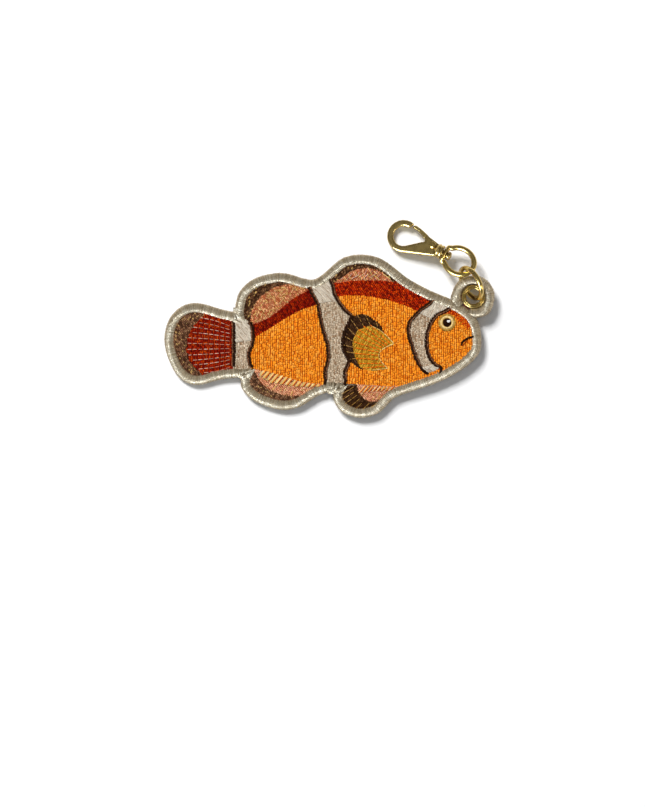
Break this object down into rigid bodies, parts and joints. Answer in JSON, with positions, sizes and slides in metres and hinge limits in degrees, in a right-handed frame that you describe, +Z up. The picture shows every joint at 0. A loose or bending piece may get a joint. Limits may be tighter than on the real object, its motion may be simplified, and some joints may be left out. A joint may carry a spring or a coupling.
{
  "type": "embroidered key charm",
  "caption": "Flat embroidered clownfish charm with a stitched border, a brass eyelet, a jump ring and a swivel snap hook.",
  "frame": {"origin": "on the floor, under the middle of the whole charm and its hardware", "axes": "+X from the fish's tail to its nose, +Y towards the fish's back, +Z up from the floor the charm lies on"},
  "size_m": [0.1268, 0.0762, 0.0134],
  "materials": {
    "border": "silvery khaki satin stitch",
    "pale": "beige woven cloth",
    "orange": "orange fill stitch",
    "red": "dark red fill stitch",
    "brown": "dark brown stitch with tan flecks",
    "pink": "pink stitch with gold flecks",
    "gold": "golden olive stitch",
    "cream": "cream and gold stitch",
    "brass": "polished antique brass"
  },
  "bodies": {
    "charm": {"border": "border", "border_tab": "border", "core_cloth": "pale", "tab_cloth": "pale", "eyelet_front": "brass", "eyelet_back": "brass", "tail_fin_edge_front": "brown", "tail_fin_edge_back": "brown", "tail_fin_red_front": "red", "tail_fin_red_back": "red", "peduncle_band_front": "pale", "peduncle_band_back": "pale", "rear_dorsal_edge_front": "brown", "rear_dorsal_edge_back": "brown", "rear_dorsal_pink_front": "pink", "rear_dorsal_pink_back": "pink", "rear_stripe_front": "red", "rear_stripe_back": "red", "rear_body_front": "orange", "rear_body_back": "orange", "anal_fin_pink_front": "pink", "anal_fin_pink_back": "pink", "anal_fin_edge_front": "brown", "anal_fin_edge_back": "brown", "middle_band_front": "pale", "middle_band_back": "pale", "front_dorsal_edge_front": "brown", "front_dorsal_edge_back": "brown", "front_dorsal_pink_front": "pink", "front_dorsal_pink_back": "pink", "front_stripe_front": "red", "front_stripe_back": "red", "front_body_front": "orange", "front_body_back": "orange", "pectoral_fin_edge_front": "brown", "pectoral_fin_edge_back": "brown", "pectoral_fin_front": "gold", "pectoral_fin_back": "gold", "pelvic_fin_edge_front": "brown", "pelvic_fin_edge_back": "brown", "pelvic_fin_pink_front": "pink", "pelvic_fin_pink_back": "pink", "head_band_front": "pale", "head_band_back": "pale", "head_front": "orange", "head_back": "orange", "eye_front": "cream", "eye_back": "cream"},
    "ring": {"jump_ring": "brass"},
    "bow": {"swivel_bow": "brass"},
    "hook": {"hook_body": "brass", "gate_pin": "brass", "swivel_post": "brass"},
    "gate": {"gate": "brass"}
  },
  "joints": [
    {"name": "ring_tilt", "type": "hinge", "parent": "charm", "child": "ring", "pos_m": [0.0533, 0.01302, 0.00452], "axis": [0.4679, -0.8838, 0], "range_deg": [0, 30]},
    {"name": "bow_swing", "type": "hinge", "parent": "ring", "child": "bow", "pos_m": [0.05231, 0.01702, 0.00675], "axis": [0.9382, 0.328, 0.11], "range_deg": [0, 60]},
    {"name": "hook_swivel", "type": "hinge", "parent": "bow", "child": "hook", "pos_m": [0.04438, 0.02467, 0.00505], "axis": [0.8748, -0.4573, 0.1599], "continuous": true},
    {"name": "gate_open", "type": "hinge", "parent": "hook", "child": "gate", "pos_m": [0.03977, 0.02809, 0.00413], "axis": [-0.1417, 0.0741, 0.9871], "range_deg": [0, 20], "stiffness_Nm_per_rad": 0.005, "springref_deg": -17.19}
  ]
}
